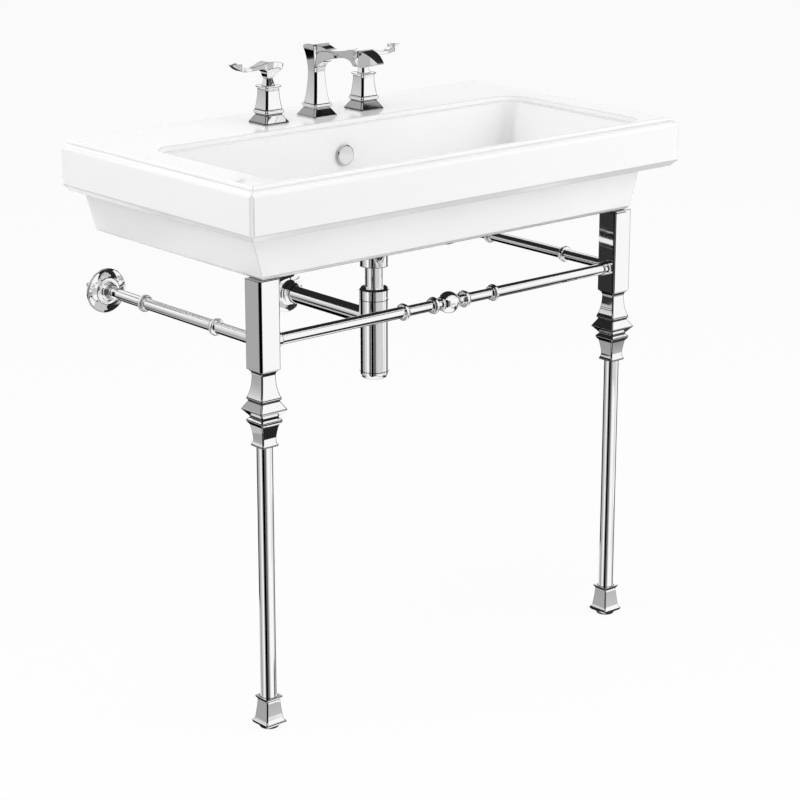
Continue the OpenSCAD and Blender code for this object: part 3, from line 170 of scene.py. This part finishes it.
def turned_metal(name, dark, light, roughness, pitch, direction, depth):
    made, tree = new_material(name)
    metal = shader(tree, Metallic=1.0, Roughness=roughness)
    where = place(tree)
    stains = noise(tree, where, 120.0, 5.0, 0.65)
    colour = tint(tree, stains, "Fac", dark, light)
    join(tree, colour, "Result", metal, "Base Color")
    rough = spread(tree, stains, "Fac", roughness * 0.8, roughness * 1.4)
    join(tree, rough, "Result", metal, "Roughness")
    threads = wave(tree, where, pitch, direction)
    cut = bump(tree, threads, "Fac", 0.5, depth)
    join(tree, cut, "Normal", metal, "Normal")
    return made


def rubber():
    made, tree = new_material("rubber")
    skin = shader(tree, Roughness=0.75, IOR=1.5)
    where = place(tree)
    grain = noise(tree, where, 600.0, 3.0)
    colour = tint(tree, grain, "Fac", (0.016, 0.016, 0.017), (0.035, 0.035, 0.036))
    join(tree, colour, "Result", skin, "Base Color")
    pores = bump(tree, grain, "Fac", 0.25, 0.0002)
    join(tree, pores, "Normal", skin, "Normal")
    return made


MATERIALS = {
    "china": china("china", (0.925, 0.925, 0.925), (0.945, 0.943, 0.94)),
    "chrome": chrome("chrome", (0.90, 0.905, 0.91), (0.95, 0.952, 0.955)),
    "brass": turned_metal("brass", (0.62, 0.46, 0.20), (0.74, 0.58, 0.28),
                          roughness=0.28, pitch=0.0018, direction="Z", depth=0.0006),
    "steel": turned_metal("steel", (0.50, 0.51, 0.52), (0.62, 0.63, 0.64),
                          roughness=0.30, pitch=0.0015, direction="Y", depth=0.0005),
    "rubber": rubber(),
}

# Finishes of the softened edges, darker than the rest: painted shade on the china's edges and a painted dark
# reflection on the chrome's.
# They stand in for the dark parts of a room that polished edges mirror.
PAINTED_EDGE_SHADES = {
    "china": china("china_painted_edge_shade", (0.70, 0.70, 0.70), (0.76, 0.758, 0.755)),
    "chrome": chrome("chrome_painted_edge_reflection", (0.03, 0.03, 0.032), (0.06, 0.06, 0.062)),
}


# The imported nodes keep their shape, and get smooth shading, softened edges and a finish; on the china and
# chrome the softened edges get a darker finish of painted shade. An edge is softened where its faces bend by
# more than SHARP, over a width in metres that goes with the finish, and a wider one on the square pieces.
SHARP = math.radians(28)
NEARLY_FLAT = math.radians(0.5)
SAME_POINT = 0.000002
BEVEL_SEGMENTS = 3
BEVELS = {"china": 0.0012, "chrome": 0.0005, "square": 0.0008,
          "brass": 0.0003, "steel": 0.0003, "rubber": 0.0004}
SQUARE_PIECES = {side + name for side in ("left_", "right_")
                 for name in ("post", "vase", "collar", "cup", "valve_column")}

# Where the china is softened and its edges get the painted edge shade: near its rim, and past the bowl at
# its ends and front
RIM = FLOOR + 0.890
SKIRT = RIM - 0.158
RIM_DEPTH = 0.012
END_X = 0.385
FRONT_Y = -0.40
TAP_HOLES = [Vector((x, -0.090, RIM)) for x in (-0.102, 0, 0.102)]
DOWEL_HOLES = [Vector((x, -0.425, SKIRT)) for x in (-0.376, 0.376)]
HOLE_REACH = 0.03


def clear_of(holes, spot):
    return min((spot - hole).length for hole in holes) > HOLE_REACH


def softened(spot):
    rim = spot.z > RIM - RIM_DEPTH and clear_of(TAP_HOLES, spot)
    outside = abs(spot.x) > END_X or spot.y < FRONT_Y
    return rim or (outside and clear_of(DOWEL_HOLES, spot))


# The bevel modifier takes the china's edges by weight: 1 where they are sharp and softened, which also
# places the painted edge shade, else 0
def weigh_edges(piece):
    mesh = piece.data
    spots = [tuple(round(value, 6) for value in point.co) for point in mesh.vertices]
    facing = {}
    for face in mesh.polygons:
        for start, end in face.edge_keys:
            facing.setdefault(frozenset((spots[start], spots[end])), []).append(face.normal)
    weights = mesh.attributes.new("bevel_weight_edge", "FLOAT", "EDGE")
    for edge in mesh.edges:
        start, end = edge.vertices
        pair = facing[frozenset((spots[start], spots[end]))]
        middle = piece.matrix_world @ ((mesh.vertices[start].co + mesh.vertices[end].co) / 2)
        bent = len(pair) == 2 and pair[0].angle(pair[1]) > SHARP
        weights.data[edge.index].value = float(bent and softened(middle))


def soften(piece, width, weighed):
    mesh = piece.data
    for name in ("custom_normal", "sharp_edge", "sharp_face"):
        if name in mesh.attributes:
            mesh.attributes.remove(mesh.attributes[name])
    for face in mesh.polygons:
        face.use_smooth = True
    weld = piece.modifiers.new("weld", "WELD")
    weld.merge_threshold = SAME_POINT
    flat = piece.modifiers.new("flat", "DECIMATE")
    flat.decimate_type = "DISSOLVE"
    flat.angle_limit = NEARLY_FLAT
    edge = piece.modifiers.new("edge", "BEVEL")
    edge.width = width
    edge.segments = BEVEL_SEGMENTS
    edge.limit_method = "WEIGHT" if weighed else "ANGLE"
    edge.angle_limit = SHARP
    edge.use_clamp_overlap = False
    # The bevel's faces take the last finish: the painted edge shade, where the piece has one
    edge.material = len(mesh.materials) - 1
    piece.modifiers.new("weights", "WEIGHTED_NORMAL")


def dress(node):
    piece = nodes[node]
    finish = slots[node]
    piece.data.materials.clear()
    piece.data.materials.append(MATERIALS[finish])
    # China and chrome get a second finish of painted shade for their softened edges
    if finish in PAINTED_EDGE_SHADES:
        piece.data.materials.append(PAINTED_EDGE_SHADES[finish])
    if finish == "china":
        weigh_edges(piece)
    soften(piece, BEVELS["square" if node in SQUARE_PIECES else finish], finish == "china")


for node in nodes:
    dress(node)


# Stage: a pale floor, and plain cards that only the reflections see
FLOOR_SIZE = 60
FLOOR_WHITE = 0.92


# 1 for the rays that show the plain background: those of the camera, reflections and glass
def background_ray(tree):
    path = tree.nodes.new("ShaderNodeLightPath")
    glossy = tree.nodes.new("ShaderNodeMath")
    glossy.operation = "MAXIMUM"
    join(tree, path, "Is Camera Ray", glossy, 0)
    join(tree, path, "Is Glossy Ray", glossy, 1)
    clear = tree.nodes.new("ShaderNodeMath")
    clear.operation = "MAXIMUM"
    tree.links.new(glossy.outputs[0], clear.inputs[0])
    join(tree, path, "Is Transmission Ray", clear, 1)
    return clear


def floor():
    made, tree = new_material("floor")
    matt = tree.nodes.new("ShaderNodeBsdfDiffuse")
    matt.inputs["Color"].default_value = (0.9, 0.9, 0.9, 1)
    white = tree.nodes.new("ShaderNodeEmission")
    white.inputs["Strength"].default_value = BACKDROP_LEVEL
    shown = tree.nodes.new("ShaderNodeMixShader")
    part = tree.nodes.new("ShaderNodeMath")
    part.operation = "MULTIPLY"
    part.inputs[1].default_value = FLOOR_WHITE
    tree.links.new(background_ray(tree).outputs[0], part.inputs[0])
    tree.links.new(part.outputs[0], shown.inputs["Fac"])
    tree.links.new(matt.outputs[0], shown.inputs[1])
    tree.links.new(white.outputs[0], shown.inputs[2])
    output = tree.nodes.new("ShaderNodeOutputMaterial")
    tree.links.new(shown.outputs[0], output.inputs["Surface"])
    bpy.ops.mesh.primitive_plane_add(size=FLOOR_SIZE, location=(0, 0, FLOOR))
    ground = bpy.context.object
    ground.name = "floor"
    ground.data.materials.append(made)
    ground.visible_glossy = False


# Round cards stand in a ring about the object. Each row has a name, the directions where the card starts
# and ends in degrees anticlockwise from +X, the levels of grey at its foot and its top, and their heights.
CARD_RADIUS = 7.0
CARD_CENTRE = Vector((0, -0.35, 0))
CARD_PANELS = 8
ROUND_CARDS = [
    ("card_rear_low", 98, 124, (0.50, 0.62), -4.6, -3.3),
    ("card_rear_black", 98, 124, (0.0, 0.0), -3.3, -1.7),
    ("card_rear_mid", 98, 124, (0.34, 0.74), -1.7, 1.6),
    ("card_rear_grey", 124, 152, (0.34, 0.42), -5.0, -1.5),
    ("card_rear_pale", 124, 152, (0.42, 0.80), -1.5, 1.6),
    ("card_left_pale", 152, 172, (0.7, 0.7), -5.0, 1.6),
    ("card_front_grey", 187, 196, (0.4, 0.4), -5.0, 2.6),
    ("card_front_black", 196, 223.5, (0.0, 0.0), -7.0, 4.8),
    ("card_camera", 223.5, 226.5, (0.3, 0.3), -5.0, 3.4),
    ("card_front_edge", 226.5, 229.5, (0.0, 0.0), -5.0, 3.4),
    ("card_front_mid", 229.5, 243, (0.16, 0.16), -5.0, 3.4),
    ("card_front_pale", 243, 256, (0.56, 0.68), -5.0, 3.4),
    ("card_right_dark", 334, 357, (0.10, 0.10), -5.0, -1.2),
    ("card_base_grey", 319, 322.5, (0.2, 0.2), 4.9, 6.8),
    ("card_base_black", 322.5, 326, (0.01, 0.01), 4.9, 6.8),
    ("card_base_edge", 326, 329, (0.3, 0.3), 4.9, 6.8),
    ("card_high_left", 124.5, 138, (0.36, 0.50), 2.2, 3.6),
    ("card_high_right", -16, 47.6, (0.02, 0.02), 3.0, 9.0),
    ("card_arm_grey", 40, 47.6, (0.45, 0.45), 2.1, 3.0),
    ("card_arm_pale", 47.6, 60, (0.45, 0.45), 2.1, 4.2),
    ("card_lever_top", 60, 70, (0.58, 0.58), 2.1, 4.2),
    ("card_lever_front", 256, 300, (0.68, 0.52), -2.4, -0.4),
    ("card_cup_low", 311, 330, (0.02, 0.02), -9.0, -6.0),
    ("card_cup_mid", 304, 330, (0.02, 0.02), -6.0, -4.45),
    ("card_cup_near", 304, 318, (0.02, 0.02), -4.45, -3.7),
    ("card_cup_far", 318, 330, (0.30, 0.48), -4.45, -2.9),
    ("card_plate_low", 262, 311, (0.60, 0.60), -9.0, -6.0),
    ("card_plate_high", 262, 304, (0.60, 0.60), -6.0, -4.4),
    ("card_foot_near", 298, 303.2, (0.46, 0.54), -3.2, -2.25),
    ("card_foot_far", 311, 316.2, (0.50, 0.58), -2.75, -1.84),
    ("card_low_right", -30, 60, (0.04, 0.04), -9.0, -5.0),
    ("card_low_rear", 60, 124, (0.0, 0.0), -9.0, -4.6),
    ("card_low_left", 124, 160, (0.36, 0.36), -9.0, -5.0),
]

# Flat cards: low behind for the right post, behind for the tap's bases, far above, and two dark ones under
# the china for the tubes, which stand in for the china's shaded underside as painted shade in the tubes'
# reflections. Each row has a name, the levels of grey at its first and second side, and the two corners of
# each side.
UNDER_CHINA = -0.072
FLAT_CARDS = [
    ("card_post", (0.03, 0.03), [(-0.97, 0.80, -0.74), (-0.75, 0.90, -0.74)],
     [(-0.97, 0.80, -0.40), (-0.75, 0.90, -0.40)]),
    ("card_base", (0.33, 0.40), [(-0.93, 1.25, 0.72), (-0.45, 1.25, 0.72)],
     [(-0.93, 1.25, 1.15), (-0.45, 1.25, 1.15)]),
    ("card_top", (0.42, 0.42), [(-2.4, -2.7, 6.5), (2.4, -2.7, 6.5)],
     [(-2.4, 2.1, 6.5), (2.4, 2.1, 6.5)]),
    # Painted shade: near-black sheets where the china's underside lies in shade, seen only in reflections
    ("card_painted_underside_shade", (0.02, 0.02), [(-0.20, -0.45, UNDER_CHINA), (0.385, -0.45, UNDER_CHINA)],
     [(-0.20, 0.60, UNDER_CHINA), (0.385, 0.60, UNDER_CHINA)]),
    ("card_painted_underside_shade_rail", (0.02, 0.02), [(-0.31, -0.45, UNDER_CHINA), (-0.20, -0.45, UNDER_CHINA)],
     [(-0.31, -0.31, UNDER_CHINA), (-0.20, -0.31, UNDER_CHINA)]),
]

# The grey fades over a card's height. A level card has none, so its fade is given a little.
LEAST_HEIGHT = 0.01


def card(name, levels, lower, upper):
    made, tree = new_material(name)
    height = tree.nodes.new("ShaderNodeSeparateXYZ")
    join(tree, place(tree), "Object", height, "Vector")
    fade = tree.nodes.new("ShaderNodeMapRange")
    foot, top = lower[0][2], upper[0][2]
    fade.inputs["From Min"].default_value = foot
    fade.inputs["From Max"].default_value = max(top, foot + LEAST_HEIGHT)
    fade.inputs["To Min"].default_value = levels[0]
    fade.inputs["To Max"].default_value = levels[1]
    join(tree, height, "Z", fade, "Value")
    light = tree.nodes.new("ShaderNodeEmission")
    join(tree, fade, "Result", light, "Strength")
    output = tree.nodes.new("ShaderNodeOutputMaterial")
    tree.links.new(light.outputs[0], output.inputs["Surface"])
    form = bmesh.new()
    lower = [form.verts.new(point) for point in lower]
    upper = [form.verts.new(point) for point in upper]
    for i in range(len(lower) - 1):
        form.faces.new((lower[i], lower[i + 1], upper[i + 1], upper[i]))
    mesh = bpy.data.meshes.new(name)
    form.to_mesh(mesh)
    form.free()
    mesh.materials.append(made)
    piece = bpy.data.objects.new(name, mesh)
    bpy.context.scene.collection.objects.link(piece)
    piece.visible_camera = False
    piece.visible_diffuse = False
    piece.visible_shadow = False
    piece.visible_transmission = False


def round_card(name, start, end, levels, low, high):
    lower, upper = [], []
    for i in range(CARD_PANELS + 1):
        turn = math.radians(start + (end - start) * i / CARD_PANELS)
        out = CARD_CENTRE + CARD_RADIUS * Vector((math.cos(turn), math.sin(turn), 0))
        lower.append((out.x, out.y, low))
        upper.append((out.x, out.y, high))
    card(name, levels, lower, upper)


floor()
for entry in ROUND_CARDS:
    round_card(*entry)
for entry in FLAT_CARDS:
    card(*entry)


# Light: a white world, and large soft lamps from the right of the front, the left and above, which no
# reflection sees. Each row has a name, a place, a size in metres and a power in watts.
LAMP_AIM = Vector((0, -0.25, -0.1))
LAMPS = [
    ("front_lamp", (2.0, -3.4, 1.6), 3.2, 78),
    ("left_lamp", (-3.6, 0.2, 1.6), 3.2, 60),
    ("top_lamp", (-0.7, -0.3, 2.8), 2.6, 28),
]


def world():
    made = bpy.data.worlds.new("studio")
    bpy.context.scene.world = made
    made.use_nodes = True
    tree = made.node_tree
    tree.nodes.clear()
    soft = tree.nodes.new("ShaderNodeBackground")
    soft.inputs["Color"].default_value = (1, 1, 1, 1)
    soft.inputs["Strength"].default_value = WORLD_LEVEL
    white = tree.nodes.new("ShaderNodeBackground")
    white.inputs["Color"].default_value = (1, 1, 1, 1)
    white.inputs["Strength"].default_value = BACKDROP_LEVEL
    both = tree.nodes.new("ShaderNodeMixShader")
    tree.links.new(background_ray(tree).outputs[0], both.inputs["Fac"])
    tree.links.new(soft.outputs[0], both.inputs[1])
    tree.links.new(white.outputs[0], both.inputs[2])
    output = tree.nodes.new("ShaderNodeOutputWorld")
    tree.links.new(both.outputs[0], output.inputs["Surface"])


def lamp(name, at, size, watts):
    data = bpy.data.lights.new(name, "AREA")
    data.shape = "SQUARE"
    data.size = size
    data.energy = watts
    piece = bpy.data.objects.new(name, data)
    piece.location = at
    piece.rotation_mode = "QUATERNION"
    piece.rotation_quaternion = (Vector(at) - LAMP_AIM).to_track_quat("Z", "Y")
    piece.visible_glossy = False
    bpy.context.scene.collection.objects.link(piece)


def camera():
    data = bpy.data.cameras.new("camera")
    data.lens = CAMERA_LENS
    piece = bpy.data.objects.new("camera", data)
    piece.location = CAMERA_AT
    back = Vector((math.sin(CAMERA_AZIMUTH) * math.cos(CAMERA_PITCH),
                   -math.cos(CAMERA_AZIMUTH) * math.cos(CAMERA_PITCH), math.sin(CAMERA_PITCH)))
    piece.rotation_mode = "QUATERNION"
    piece.rotation_quaternion = back.to_track_quat("Z", "Y")
    bpy.context.scene.collection.objects.link(piece)
    bpy.context.scene.camera = piece


world()
for entry in LAMPS:
    lamp(*entry)
camera()
bpy.context.scene.view_settings.view_transform = "Standard"
